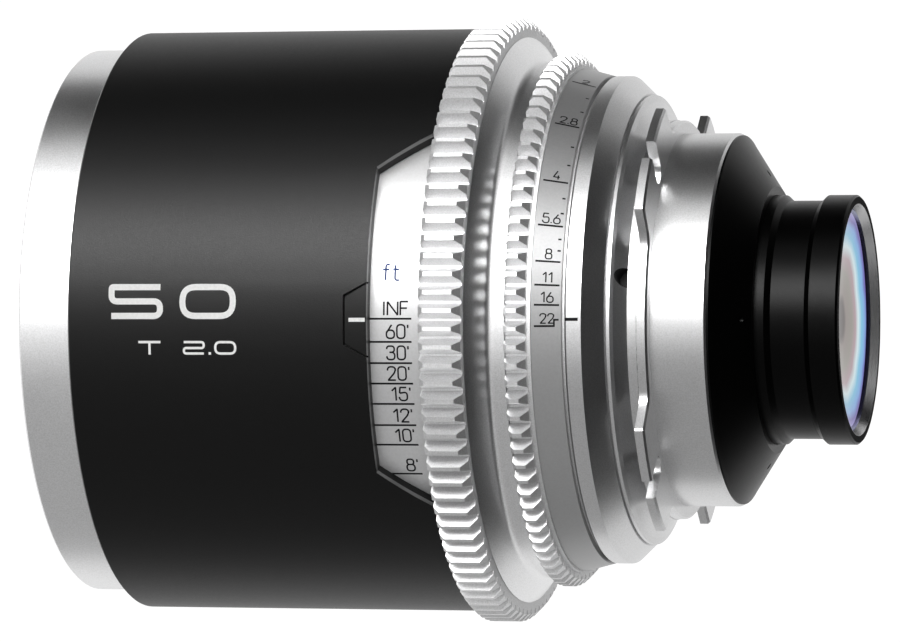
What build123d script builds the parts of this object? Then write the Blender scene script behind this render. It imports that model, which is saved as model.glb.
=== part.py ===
from build123d import *

# Cinema prime lens, 50 mm T2.0, standing on its front ring with the lens mount up.
# The lens axis is Z. The origin is the middle of the front ring's front face.
# Angles round the lens count from the index line, which faces -Y, and run
# clockwise as seen from the mount end. The model is at rest with the focus ring
# at infinity and the iris ring at T22, so the iris is closed.
import os
from math import asin, atan, cos, degrees, hypot, radians, sin, sqrt, tan

os.makedirs("parts", exist_ok=True)

# Driving dimensions, in millimetres and degrees. Radii run from the iris outward
# to the shell and from the lens mount inward, so each one follows the piece that
# carries it.
# Fits between pieces
running_play = 0.05
slip_fit = 0.05
pin_play = 0.1
overrun = 1.0
edge_bevel = 0.3
barrel_wall = 3.0

# Iris: ten crescent blades between a base plate and a slotted drive ring
blades = 10
stop_radius = 14.0
closed_radius = 1.27
blade_thickness = 0.05
blade_climb_height = 1.0
blade_cover_width = 0.1
blade_width = 8.3
blade_heel_angle = 6.0
blade_end_angle = 130.0
blade_pin_angle = 126.0
blade_pin_radius = 0.5
blade_pin_length = 1.1
blade_pin_step = 0.8
blade_pivot_inset = 6.0
blade_inner_radius = stop_radius + blade_cover_width
blade_outer_radius = blade_inner_radius + blade_width
blade_pivot_radius = stop_radius + blade_pivot_inset
blade_pin_orbit = blade_pivot_radius + blade_pin_step
# Places along the blade, as shares of its arc from heel to tip, and what is left
# out inside and outside there, as shares of the band between its two edges
blade_taper_shares = (
    (0.0, 0.60, 0.16),
    (0.02, 0.50, 0.06),
    (0.06, 0.40, 0.0),
    (0.15, 0.16, 0.0),
    (0.25, 0.0, 0.0),
    (0.35, 0.0, 0.0),
    (0.46, 0.0, 0.0),
    (0.57, 0.0, 0.0),
    (0.68, 0.0, 0.0),
    (0.78, 0.0, 0.0),
    (0.86, 0.06, 0.0),
    (0.93, 0.42, 0.0),
    (0.975, 0.62, 0.02),
    (1.0, 0.72, 0.12),
)
drive_ring_thickness = 1.8
drive_ring_rim_width = 4.8
drive_ring_bore_step = 0.5
drive_ring_radius = blade_outer_radius + drive_ring_rim_width
drive_ring_bore = stop_radius + drive_ring_bore_step
drive_pin_radius = 0.6
drive_pin_seat_depth = 2.2
drive_pin_cap_depth = 0.9
drive_pin_root_radius = drive_ring_radius - drive_pin_seat_depth
iris_cover_thickness = 1.2
iris_cover_ledge = 0.9
iris_cover_bore_step = 0.1
iris_cover_bore = drive_ring_bore + iris_cover_bore_step
iris_housing_wall = 3.1
iris_housing_rim = 1.075
iris_housing_bore = drive_ring_radius + pin_play
iris_bore_radius = iris_housing_bore + iris_housing_wall + slip_fit
iris_bearing_radius = iris_bore_radius + barrel_wall

# Gears of module 0.8, as follow-focus drives use
gear_module = 0.8
tooth_crest = 0.57
tooth_depth = 1.75
tooth_flank_angle = 24.5
tooth_rear_bevel = 1.05

# Iris ring and its tapered scale
iris_turn = 71.4
iris_gear_length = 3.0
iris_gear_rise = 1.9
iris_front_bevel = 0.55
iris_land_length = 0.55
iris_land_step = 0.35
iris_sleeve_wall = 1.0
iris_scale_length = 4.05
iris_scale_wall = 0.95
iris_scale_taper = 1.1
scale_groove = 0.45
iris_sleeve_radius = iris_bearing_radius + running_play + iris_sleeve_wall
iris_scale_rear_radius = iris_sleeve_radius + iris_scale_wall
iris_scale_front_radius = iris_scale_rear_radius + iris_scale_taper
iris_land_radius = iris_scale_front_radius + iris_land_step
iris_tip_radius = iris_land_radius + iris_gear_rise
drive_pin_head_radius = iris_land_radius - drive_pin_cap_depth

# Main barrel
bearing_step = 4.15
mid_seat_step = 1.6
barrel_head_length = 6.0
bore_step_length = 2.0
barrel_lip_length = 1.5
barrel_lip_room = 0.5
bearing_radius = iris_bearing_radius + bearing_step
mid_seat_radius = bearing_radius - mid_seat_step
barrel_bore_radius = bearing_radius - barrel_wall

# Focus ring and its scale
focus_turn = 270.0
focus_travel = 4.5
focus_gear_length = 6.0
focus_gear_rise = 1.5
focus_front_bevel = 0.8
focus_sleeve_length = 12.2
focus_sleeve_wall = 1.25
focus_scale_wall = 1.4
focus_scale_play = 0.1
focus_sleeve_radius = bearing_radius + running_play + focus_sleeve_wall
focus_scale_radius = focus_sleeve_radius + focus_scale_wall

# Barrel shell, its window over the focus scale, and the index plate beside it
shell_wall = 2.1
shell_length = 51.3
shell_lip = 2.0
window_length = 7.6
window_half_angle = 30.5
window_rear_half_angle = 39.5
plate_length = 3.05
plate_half_width = 5.0
plate_tip_half_width = 3.2
plate_thickness = 1.1
plate_groove = 0.3
shell_radius = focus_scale_radius + focus_scale_play + shell_wall
focus_tip_radius = shell_radius + focus_gear_rise

# Mid ring between the gears
mid_ring_length = 4.9
mid_ring_waist = 2.4
mid_ring_head_step = 1.3
mid_ring_step = 1.3
cove_sag_share = 0.12
mid_ring_head_radius = shell_radius - mid_ring_head_step
mid_ring_radius = iris_tip_radius - mid_ring_step

# Front ring with its filter thread M77 x 0.75 at the minor diameter, and its spigot
front_ring_length = 8.1
front_ring_wall = 1.9
filter_thread_length = 6.0
filter_thread_bevel = 0.4
filter_thread_step = 0.5
spigot_length = 4.0
spigot_wall = 2.0
spigot_radius = bearing_radius
filter_thread_radius = spigot_radius + filter_thread_step
front_ring_radius = filter_thread_radius + front_ring_wall

# Front optics
cell_flange_length = 1.5
front_cell_skin = 1.15
front_cell_wall = 7.55
cell_lip_length = 1.6
cell_lip_width = 3.5
retainer_flange_length = 3.1
retainer_rim_width = 0.8
retainer_steps = 6
retainer_step_lip = 0.5
front_glass_depth = 3.9
front_glass_land = 0.8
front_glass_edge = 3.0
front_glass_front_curve = 60.0
front_glass_rear_curve = 110.0
front_spacer_length = 2.5
front_spacer_wall = 2.6
second_glass_edge = 5.5
second_glass_front_curve = 90.0
second_glass_rear_curve = 55.0
front_cell_radius = barrel_bore_radius - slip_fit
retainer_radius = front_cell_radius - front_cell_skin
retainer_mouth_radius = retainer_radius - retainer_rim_width
front_glass_radius = front_cell_radius - front_cell_wall
front_glass_clear_radius = front_glass_radius - front_glass_land
cell_lip_radius = front_glass_radius - cell_lip_width

# Focusing optics, carried by a cell that slides in the main barrel
focus_cell_wall = 9.55
focus_cell_reach = 16.5
focus_lip_length = 1.5
focus_lip_width = 2.5
focus_front_glass_edge = 3.0
focus_front_glass_curve = 55.0
focus_front_glass_back_curve = -80.0
focus_rear_glass_edge = 8.5
focus_rear_glass_curve = -80.0
focus_rear_glass_back_curve = 120.0
focus_spacer_length = 3.0
focus_retainer_length = 2.5
follower_radius = 1.5
follower_drop = 3.95
follower_seat_depth = 3.05
cam_groove_depth = 0.9
guide_pins = 2
focus_cell_radius = barrel_bore_radius - slip_fit
focus_glass_radius = focus_cell_radius - focus_cell_wall
focus_lip_radius = focus_glass_radius - focus_lip_width
follower_root_radius = focus_cell_radius - follower_seat_depth

# Lens mount: a 54 mm barrel behind a four-tab flange
mount_radius = 27.0
mount_wall = 2.2
mount_barrel_length = 8.0
mount_web_length = 3.0
tabs = 4
tab_reach = 7.0
tab_thickness = 1.45
tab_bevel = 0.3
tab_half_angle = 17.9
tab_root_half_angle = 22.3
tab_root_rise = 1.9
tab_root_fillet = 2.5
tab_tip_fillet = 0.6
tab_notch_half_width = 1.7
tab_notch_rise = 0.9
shim_thickness = 0.1
mount_screws = 6
mount_screw_radius = 1.0
mount_screw_head_radius = 1.9
mount_screw_head_length = 1.6
mount_screw_head_room = 0.2
mount_screw_bite = 2.15
mount_screw_socket_radius = 0.75
mount_screw_socket_depth = 0.9
mount_bore_radius = mount_radius - mount_wall
mount_screw_orbit = mount_bore_radius - mount_screw_head_room - mount_screw_head_radius
mount_web_radius = mount_screw_orbit - mount_screw_head_radius - mount_screw_head_room
tab_radius = mount_radius + tab_reach
tab_root_radius = mount_radius + tab_root_rise
tab_notch_radius = mount_radius + tab_notch_rise

# Base under the flange, with a half-round pocket in its slope
base_neck_length = 1.25
base_neck_rise = 0.1
base_slope_length = 1.45
base_lip_length = 1.05
base_lip_rise = 3.6
base_lip_drop = 0.9
base_pocket_radius = 1.4
base_pocket_depth = 1.5
base_pocket_angle = 11.5
base_neck_radius = tab_root_radius + base_neck_rise
base_lip_radius = base_neck_radius + base_lip_rise

# Index ring behind the iris scale, and the cone behind it
index_ring_length = 2.4
index_ring_step = 0.05
index_cone_length = 2.7
index_cone_rise = 0.2
index_ring_radius = iris_scale_rear_radius - index_ring_step
index_cone_radius = base_lip_radius + index_cone_rise

# Rear optics
rear_flange_play = 0.1
rear_flange_width = 2.5
rear_flange_length = 2.0
rear_shoulder_rise = 0.8
rear_shoulder_length = 1.4
rear_tube_wall = 0.8
rear_ring_rise = 0.8
rear_ring_length = 4.9
rear_ring_lip = 0.55
rear_ring_lip_width = 0.4
rear_ring_flare = 0.7
rear_ring_recess = 1.6
rear_tail_length = 17.05
relay_seat_width = 1.4
relay_lip_width = 1.8
relay_lip_length = 1.2
relay_front_edge = 5.0
relay_front_curve = 38.0
relay_front_back_curve = -34.0
relay_spacer_length = 3.0
relay_retainer_length = 3.0
relay_rear_edge = 6.0
relay_rear_curve = -34.0
relay_rear_back_curve = 60.0
rear_glass_edge = 4.3
rear_glass_front_curve = -90.0
rear_glass_rear_curve = -130.0
rear_flange_radius = mount_web_radius - rear_flange_play
rear_shoulder_radius = rear_flange_radius - rear_flange_width
rear_tube_radius = rear_shoulder_radius - rear_shoulder_rise
rear_ring_radius = rear_tube_radius + rear_ring_rise
rear_glass_radius = rear_tube_radius - rear_tube_wall
rear_ring_seat_radius = rear_glass_radius - rear_ring_lip_width
rear_ring_mouth_radius = rear_ring_seat_radius + rear_ring_flare
relay_glass_radius = rear_glass_radius - relay_seat_width
relay_lip_radius = relay_glass_radius - relay_lip_width
barrel_lip_radius = rear_shoulder_radius + barrel_lip_room

# Black cover between the mount barrel and the rear tube
cover_length = 5.1
cover_wall = 1.5
cover_rim_length = 0.6
cover_rim_step = 0.3
cover_rim_width = 0.5
cover_tip_width = 1.3
cover_spigot_length = 4.4
cover_holes = 4
cover_hole_radius = 0.45
cover_hole_depth = 1.2
cover_hole_share = 0.73
cover_rim_radius = mount_radius - cover_rim_step
cover_cone_radius = cover_rim_radius - cover_rim_width
cover_tip_radius = rear_shoulder_radius + cover_tip_width

# Heights along the axis, each from the piece in front of it
shell_z = front_ring_length
focus_gear_z = shell_z + shell_length + running_play
mid_ring_z = focus_gear_z + focus_gear_length + running_play
iris_gear_z = mid_ring_z + mid_ring_length + running_play
iris_scale_z = iris_gear_z + iris_gear_length + iris_land_length
index_ring_z = iris_scale_z + iris_scale_length + scale_groove
index_cone_z = index_ring_z + index_ring_length
mount_base_z = index_cone_z + index_cone_length
mount_shim_z = mount_base_z + base_lip_length + base_slope_length + base_neck_length
tab_z = mount_shim_z + shim_thickness
seat_z = tab_z + tab_thickness
mount_end_z = seat_z + mount_barrel_length
tail_end_z = mount_end_z + rear_tail_length
mount_screw_end_z = mount_base_z - mount_screw_bite
head_z = shell_z + shell_lip
cell_flange_z = shell_z + spigot_length
cell_body_z = cell_flange_z + cell_flange_length
barrel_end_z = index_ring_z + barrel_lip_length
housing_seat_z = barrel_end_z - barrel_lip_length
drive_z = iris_gear_z + (iris_gear_length + iris_land_length) / 2
follower_height = focus_gear_z - follower_drop

front_glass_z = cell_flange_z + front_glass_depth
second_glass_z = front_glass_z + front_glass_edge + front_spacer_length
focus_cell_front = follower_height - focus_cell_reach
focus_glass_z = focus_cell_front + focus_lip_length
focus_rear_glass_z = focus_glass_z + focus_front_glass_edge + focus_spacer_length
focus_cell_rear = focus_rear_glass_z + focus_rear_glass_edge + focus_retainer_length
relay_glass_z = barrel_end_z + relay_lip_length
relay_rear_z = relay_glass_z + relay_front_edge + relay_spacer_length
rear_ring_seat_z = tail_end_z - rear_ring_recess - rear_ring_lip

# Closing swing of a blade, from the full stop to the smallest one
blade_swing = 2 * degrees(asin((blade_inner_radius - closed_radius) / (2 * blade_pivot_radius)))
blade_angle_step = 360 / blades
blade_climb_per_degree = blade_climb_height / blade_angle_step
drive_ring_z = drive_z - drive_ring_thickness / 2
blade_tip_z = drive_ring_z + drive_ring_thickness + 2 * running_play
blade_tail_z = blade_tip_z + blade_end_angle * blade_climb_per_degree
blade_heel_z = blade_tail_z + blade_heel_angle * blade_climb_per_degree
base_plate_z = blade_heel_z + blade_thickness + 2 * running_play


def facing(angle):
    """Turn what is built along +X to an angle round the lens from the index line."""
    return Rot(0, 0, -90 - angle)


def turned(*points):
    """A solid turned about the lens axis from (radius, height) points."""
    outline = Plane.XZ * make_face(Polyline(*points, close=True))
    return revolve(outline, Axis.Z)


def tube(outer, inner, low, high):
    """A plain ring between two heights."""
    return turned((inner, low), (outer, low), (outer, high), (inner, high))


def drum(radius, low, high):
    """A plain cylinder between two heights."""
    return Pos(0, 0, low) * Cylinder(radius, high - low, align=(Align.CENTER, Align.CENTER, Align.MIN))


def radial_pin(radius, inner, outer, height):
    """A cylinder that points outward along +X."""
    lying = Rot(0, 90, 0) * Cylinder(radius, outer - inner, align=(Align.CENTER, Align.CENTER, Align.MIN))
    return Pos(inner, 0, height) * lying


def arc_slot(radius_in, radius_out, half_height, height, start, sweep):
    """A cutter that runs round the axis from a start angle about +Z."""
    low, high = height - half_height, height + half_height
    face = Plane.XZ * make_face(
        Polyline((radius_in, low), (radius_out, low), (radius_out, high), (radius_in, high), close=True)
    )
    return Rot(0, 0, start) * revolve(face, Axis.Z, revolution_arc=sweep)


def sag(curve, radius):
    """How far a sphere's surface stands behind its own vertex at a radius."""
    return curve - sqrt(curve**2 - radius**2) * (1 if curve > 0 else -1)


def glass(radius, clear, front, edge, front_curve, rear_curve):
    """A lens element with a flat land outside its clear radius. Its rim runs from
    front to front + edge, and a curve is positive where its centre is behind it."""
    back = front + edge
    front_vertex = front - sag(front_curve, clear)
    rear_vertex = back - sag(rear_curve, clear)
    middle = clear / 2
    front_middle = front_vertex + sag(front_curve, middle)
    rear_middle = rear_vertex + sag(rear_curve, middle)
    profile = [
        Line((0, rear_vertex), (0, front_vertex)),
        ThreePointArc((0, front_vertex), (middle, front_middle), (clear, front)),
        Polyline((clear, front), (radius, front), (radius, back), (clear, back)),
        ThreePointArc((clear, back), (middle, rear_middle), (0, rear_vertex)),
    ]
    return revolve(Plane.XZ * make_face(profile), Axis.Z)


def tooth_outline(tip_radius):
    """The gear's outline: a flat crest and two straight flanks on every tooth. The
    crests stand one module above the pitch circle, which sets how many there are."""
    teeth = round(2 * (tip_radius - gear_module) / gear_module)
    root_radius = tip_radius - tooth_depth
    crest = degrees(atan(tooth_crest / 2 / tip_radius))
    root_half_width = tooth_crest / 2 + tooth_depth * tan(radians(tooth_flank_angle))
    root = degrees(atan(root_half_width / root_radius))
    pitch = 360 / teeth
    corners = []
    for tooth in range(teeth):
        middle = (tooth + 1 / 2) * pitch
        for radius, offset in (
            (root_radius, -root),
            (tip_radius, -crest),
            (tip_radius, crest),
            (root_radius, root),
        ):
            angle = radians(middle + offset)
            corners.append((radius * cos(angle), radius * sin(angle)))
    return make_face(Polyline(*corners, close=True))


def gear(tip_radius, bore, low, length, front_bevel):
    """A toothed ring with its crests bevelled at both faces."""
    high = low + length
    ridge = (length - front_bevel - tooth_rear_bevel) / 2
    teeth_block = Pos(0, 0, low) * extrude(tooth_outline(tip_radius), length)
    envelope = turned(
        (bore, low),
        (tip_radius - front_bevel, low),
        (tip_radius + ridge, low + front_bevel + ridge),
        (tip_radius - tooth_rear_bevel, high),
        (bore, high),
    )
    return facing(0) * (teeth_block & envelope)


def front_ring():
    """Silver ring at the front: filter thread inside, threaded spigot behind."""
    return turned(
        (filter_thread_radius + filter_thread_bevel, 0),
        (front_ring_radius - edge_bevel, 0),
        (front_ring_radius, edge_bevel),
        (front_ring_radius, front_ring_length),
        (spigot_radius, front_ring_length),
        (spigot_radius, cell_flange_z),
        (spigot_radius - spigot_wall, cell_flange_z),
        (spigot_radius - spigot_wall, filter_thread_length),
        (filter_thread_radius, filter_thread_length),
        (filter_thread_radius, filter_thread_bevel),
    )


def window_cutter():
    """Radial walls: each slanted side lies in a plane through the lens axis."""
    front = shell_z + shell_length - window_length
    rear = shell_z + shell_length + overrun
    sections = []
    near = focus_scale_radius * cos(radians(window_rear_half_angle)) - overrun
    far = shell_radius + overrun
    for depth in (near, far):
        narrow = depth * tan(radians(window_half_angle))
        wide = depth * tan(radians(window_rear_half_angle))
        corners = ((-narrow, front), (narrow, front), (wide, rear), (-wide, rear))
        outline = Polyline(*[(x, -depth, z) for x, z in corners], close=True)
        sections.append(make_face(outline))
    return loft(sections, ruled=True)


def plate_prism(margin):
    """The index plate's outline, pushed out through the shell toward the index side."""
    rear = shell_z + shell_length - window_length
    front = rear - plate_length - margin
    wide = plate_half_width + margin
    tip = plate_tip_half_width + margin
    outline = Polyline((-wide, rear), (-tip, front), (tip, front), (wide, rear), close=True)
    return extrude(Plane.XZ * make_face(outline), shell_radius + overrun)


def barrel_shell():
    """Black outer tube with the scale window and the index plate's pocket."""
    inner = shell_radius - shell_wall
    high = shell_z + shell_length
    body = turned(
        (spigot_radius + slip_fit, shell_z),
        (shell_radius - edge_bevel, shell_z),
        (shell_radius, shell_z + edge_bevel),
        (shell_radius, high),
        (inner, high),
        (inner, head_z),
        (spigot_radius + slip_fit, head_z),
    )
    pocket = plate_prism(plate_groove) & tube(
        shell_radius + overrun, shell_radius - plate_thickness, shell_z, high
    )
    return body - window_cutter() - pocket


def index_plate():
    """Inlaid plate that carries the focus index line."""
    band = tube(shell_radius, shell_radius - plate_thickness, shell_z, shell_z + shell_length)
    return plate_prism(0) & band


def main_barrel():
    """The chassis tube. Both turning rings run on it, the optics sit in its bore,
    and its slots let the follower pins and the iris drive pin through."""
    bore_step_z = focus_gear_z + bore_step_length
    body = turned(
        (spigot_radius + slip_fit, head_z),
        (shell_radius - shell_wall - slip_fit, head_z),
        (shell_radius - shell_wall - slip_fit, head_z + barrel_head_length),
        (bearing_radius, head_z + barrel_head_length),
        (bearing_radius, mid_ring_z),
        (mid_seat_radius, mid_ring_z),
        (mid_seat_radius, iris_gear_z - running_play),
        (iris_bearing_radius, iris_gear_z - running_play),
        (iris_bearing_radius, barrel_end_z),
        (barrel_lip_radius, barrel_end_z),
        (barrel_lip_radius, housing_seat_z),
        (iris_bore_radius, housing_seat_z),
        (iris_bore_radius, bore_step_z),
        (barrel_bore_radius, bore_step_z),
        (barrel_bore_radius, cell_body_z),
        (spigot_radius + slip_fit, cell_body_z),
    )
    slot = guide_slot()
    for pin in range(guide_pins + 1):
        body -= facing(pin * 360 / (guide_pins + 1)) * slot
    return body - drive_pin_slot()


def guide_slot():
    """Straight slot that a follower pin slides in, as long as the focus travel."""
    half = follower_radius + pin_play
    low = follower_height - focus_travel
    reach = bearing_radius + overrun
    ends = radial_pin(half, follower_root_radius, reach, low)
    ends += radial_pin(half, follower_root_radius, reach, follower_height)
    middle = Pos(follower_root_radius, 0, low) * Box(
        reach - follower_root_radius,
        2 * half,
        focus_travel,
        align=(Align.MIN, Align.CENTER, Align.MIN),
    )
    return ends + middle


def drive_pin_slot():
    """Slot round the barrel and the iris housing for the iris drive pin."""
    half = drive_pin_radius + pin_play
    spare = degrees(half / drive_ring_radius)
    return arc_slot(
        drive_ring_radius - overrun,
        iris_bearing_radius + overrun,
        half,
        drive_z,
        drive_pin_start() - spare,
        iris_turn + 2 * spare,
    )


def drive_pin_start():
    """Where the drive pin stands at rest, as an angle about +Z."""
    return -90 - iris_turn / 2


def mid_ring():
    """Fixed ring between the gears: a cove from its head down to a plain land."""
    high = mid_ring_z + mid_ring_length
    waist_z = mid_ring_z + mid_ring_waist
    bore = mid_seat_radius + slip_fit
    drop = mid_ring_head_radius - mid_ring_radius
    middle = (
        (mid_ring_head_radius + mid_ring_radius) / 2 - cove_sag_share * mid_ring_waist,
        (mid_ring_z + waist_z) / 2 - cove_sag_share * drop,
    )
    head = (mid_ring_head_radius, mid_ring_z)
    waist = (mid_ring_radius, waist_z)
    profile = [
        Polyline(head, (bore, mid_ring_z), (bore, high), (mid_ring_radius, high), waist),
        ThreePointArc(waist, middle, head),
    ]
    return revolve(Plane.XZ * make_face(profile), Axis.Z)


def index_ring():
    """Fixed ring behind the iris scale, with the iris index and a cone behind it."""
    bore = iris_bearing_radius + slip_fit
    body = turned(
        (bore, index_ring_z),
        (index_ring_radius - edge_bevel, index_ring_z),
        (index_ring_radius, index_ring_z + edge_bevel),
        (index_ring_radius, index_cone_z),
        (index_cone_radius, mount_base_z),
        (mount_web_radius, mount_base_z),
        (mount_web_radius, barrel_end_z),
        (bore, barrel_end_z),
    )
    return body - screw_holes()


def mount_base():
    """Base that the mount flange is shimmed against. A half-round pocket in its
    slope ends against the neck."""
    slope_z = mount_base_z + base_lip_length
    neck_z = slope_z + base_slope_length
    body = turned(
        (mount_web_radius, mount_base_z),
        (base_lip_radius - edge_bevel, mount_base_z),
        (base_lip_radius, mount_base_z + edge_bevel),
        (base_lip_radius, slope_z - edge_bevel),
        (base_lip_radius - base_lip_drop, slope_z),
        (base_neck_radius, neck_z),
        (base_neck_radius, mount_shim_z),
        (mount_web_radius, mount_shim_z),
    )
    root = base_neck_radius - base_pocket_depth
    pocket = radial_pin(base_pocket_radius, root, base_lip_radius + overrun, neck_z)
    pocket &= drum(base_lip_radius + overrun, mount_base_z, neck_z)
    return body - facing(base_pocket_angle) * pocket - screw_holes()


def mount_shim():
    """Thin washer that sets the distance from the flange to the image."""
    return tube(tab_root_radius, mount_web_radius, mount_shim_z, tab_z) - screw_holes()


def flange_outline():
    """Four tabs with slanted, rounded ends on a round root, as the lens mount has them."""
    corners = []
    for tab in range(tabs):
        middle = (tab + 1 / 2) * 360 / tabs
        for radius, offset in (
            (tab_root_radius, -tab_root_half_angle),
            (tab_radius, -tab_half_angle),
            (tab_radius, tab_half_angle),
            (tab_root_radius, tab_root_half_angle),
        ):
            angle = radians(middle + offset)
            corners.append((radius * cos(angle), radius * sin(angle)))
    edges = []
    for number, corner in enumerate(corners):
        following = corners[(number + 1) % len(corners)]
        if number % 2 == 0:
            edges.append(Line(corner, following))
        else:
            edges.append(RadiusArc(corner, following, -hypot(*corner)))
    outline = make_face(edges)
    roots = [point for point in outline.vertices() if hypot(point.X, point.Y) < tab_radius - tab_bevel]
    outline = fillet(roots, tab_root_fillet)
    tips = [point for point in outline.vertices() if hypot(point.X, point.Y) > tab_radius - tab_bevel]
    return fillet(tips, tab_tip_fillet)


def mount_flange():
    """Tabs, 54 mm barrel and the inner web that the screws hold."""
    plate = Pos(0, 0, tab_z) * extrude(flange_outline(), tab_thickness)
    plate = chamfer(plate.faces().sort_by(Axis.Z)[-1].edges(), tab_bevel)
    notch = Pos(tab_notch_radius + tab_notch_half_width, 0, tab_z) * (
        Cylinder(tab_notch_half_width, tab_thickness, align=(Align.CENTER, Align.CENTER, Align.MIN))
        + Box(
            tab_radius - tab_notch_radius,
            2 * tab_notch_half_width,
            tab_thickness,
            align=(Align.MIN, Align.CENTER, Align.MIN),
        )
    )
    for tab in range(tabs):
        plate -= Rot(0, 0, (tab + 1 / 2) * 360 / tabs) * notch
    barrel = turned(
        (0, tab_z),
        (mount_radius, tab_z),
        (mount_radius, mount_end_z - edge_bevel),
        (mount_radius - edge_bevel, mount_end_z),
        (0, mount_end_z),
    )
    bore = drum(mount_bore_radius, tab_z + mount_web_length, mount_end_z)
    passage = drum(mount_web_radius, tab_z, mount_end_z)
    return plate + barrel - bore - passage - screw_holes()


def mount_screw():
    """One flange screw with a hexagon socket, standing on the mount's web."""
    web_z = tab_z + mount_web_length
    top = web_z + mount_screw_head_length
    body = drum(mount_screw_radius, mount_screw_end_z, web_z)
    body += drum(mount_screw_head_radius, web_z, top)
    socket = extrude(RegularPolygon(mount_screw_socket_radius, 6), mount_screw_socket_depth)
    return Pos(mount_screw_orbit, 0, 0) * (body - Pos(0, 0, top - mount_screw_socket_depth) * socket)


def screw_holes():
    """Cutters for the flange screws' shanks."""
    web_z = tab_z + mount_web_length
    bore = mount_screw_radius + slip_fit
    hole = Pos(mount_screw_orbit, 0, 0) * drum(bore, mount_screw_end_z, web_z)
    return [facing(number * 360 / mount_screws) * hole for number in range(mount_screws)]


def mount_screw_group():
    """The flange screws, each a solid of its own."""
    return [facing(number * 360 / mount_screws) * mount_screw() for number in range(mount_screws)]


def rear_cover():
    """Black cone that closes the mount barrel round the rear tube."""
    rim_z = mount_end_z + cover_rim_length
    tip_z = mount_end_z + cover_length
    spigot_z = mount_end_z - cover_spigot_length
    collar = rear_shoulder_radius + slip_fit
    body = turned(
        (mount_bore_radius - slip_fit, spigot_z),
        (mount_bore_radius - slip_fit, mount_end_z),
        (cover_rim_radius, mount_end_z),
        (cover_rim_radius, rim_z - edge_bevel),
        (cover_cone_radius, rim_z),
        (cover_tip_radius, tip_z),
        (collar, tip_z),
        (collar, tip_z - cover_wall),
        (mount_bore_radius - cover_wall, mount_end_z),
        (mount_bore_radius - cover_wall, spigot_z),
    )
    hole_z = rim_z + (tip_z - rim_z) * cover_hole_share
    hole_orbit = cover_cone_radius + (cover_tip_radius - cover_cone_radius) * cover_hole_share
    hole = Pos(hole_orbit, 0, 0) * drum(cover_hole_radius, hole_z - cover_hole_depth, tip_z)
    for number in range(cover_holes):
        body -= facing(number * 360 / cover_holes) * hole
    return body


def front_cell():
    """Cell of the front group, clamped by its flange behind the front ring."""
    rear_z = second_glass_z + second_glass_edge
    outer = barrel_bore_radius - slip_fit
    return turned(
        (retainer_radius, cell_flange_z),
        (spigot_radius, cell_flange_z),
        (spigot_radius, cell_body_z),
        (outer, cell_body_z),
        (outer, rear_z + cell_lip_length),
        (cell_lip_radius, rear_z + cell_lip_length),
        (cell_lip_radius, rear_z),
        (front_glass_radius, rear_z),
        (front_glass_radius, front_glass_z),
        (retainer_radius, front_glass_z),
    )


def front_element():
    """Large front element, a meniscus."""
    return glass(
        front_glass_radius,
        front_glass_clear_radius,
        front_glass_z,
        front_glass_edge,
        front_glass_front_curve,
        front_glass_rear_curve,
    )


def front_spacer():
    """Ring that keeps the first two elements apart."""
    low = front_glass_z + front_glass_edge
    return tube(front_glass_radius, front_glass_radius - front_spacer_wall, low, second_glass_z)


def second_element():
    """Second element of the front group."""
    return glass(
        front_glass_radius,
        front_glass_radius - front_spacer_wall,
        second_glass_z,
        second_glass_edge,
        second_glass_front_curve,
        second_glass_rear_curve,
    )


def front_retainer():
    """Black ring that holds the front element, stepped inside against glare."""
    mouth_z = cell_flange_z - retainer_flange_length
    step_height = (front_glass_z - retainer_step_lip - mouth_z) / retainer_steps
    step_width = (retainer_mouth_radius - front_glass_clear_radius) / retainer_steps
    outer = retainer_radius - slip_fit
    rim = spigot_radius - spigot_wall - slip_fit
    steps = []
    for step in range(retainer_steps):
        radius = retainer_mouth_radius - step * step_width
        height = mouth_z + step * step_height
        steps += [(radius, height), (radius, height + step_height)]
    return turned(
        *steps,
        (front_glass_clear_radius, front_glass_z - retainer_step_lip),
        (front_glass_clear_radius, front_glass_z),
        (outer, front_glass_z),
        (outer, cell_flange_z),
        (rim, cell_flange_z),
        (rim, mouth_z),
    )


def focus_gear_ring():
    """Toothed focus ring with the sleeve that turns on the main barrel. A helical
    groove in the sleeve drives the follower pin."""
    bore = bearing_radius + running_play
    sleeve_z = focus_gear_z - focus_sleeve_length
    ring = gear(focus_tip_radius, bore, focus_gear_z, focus_gear_length, focus_front_bevel)
    sleeve = tube(focus_sleeve_radius, bore, sleeve_z, focus_gear_z)
    return ring + sleeve - cam_groove()


def cam_groove():
    """Helical cutter: the follower climbs from its far end to rest at infinity."""
    spare = degrees(2 * (follower_radius + pin_play) / bearing_radius)
    climb_per_degree = focus_travel / focus_turn
    sweep_angle = focus_turn + 2 * spare
    low = follower_height - focus_travel - spare * climb_per_degree
    radius = bearing_radius
    path = Helix(
        pitch=climb_per_degree * 360,
        height=climb_per_degree * sweep_angle,
        radius=radius,
        lefthand=True,
    )
    reach = 2 * (cam_groove_depth + running_play)
    section = Plane.XZ * Pos(radius, 0) * Rectangle(reach, 2 * (follower_radius + pin_play))
    groove = sweep(section, path=path, is_frenet=True)
    return Pos(0, 0, low) * Rot(0, 0, -90 + focus_turn + spare) * groove


def focus_scale_ring():
    """Silver ring with the distance scale, on the focus ring's sleeve."""
    low = focus_gear_z - focus_sleeve_length
    return tube(focus_scale_radius, focus_sleeve_radius, low, focus_gear_z)


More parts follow.
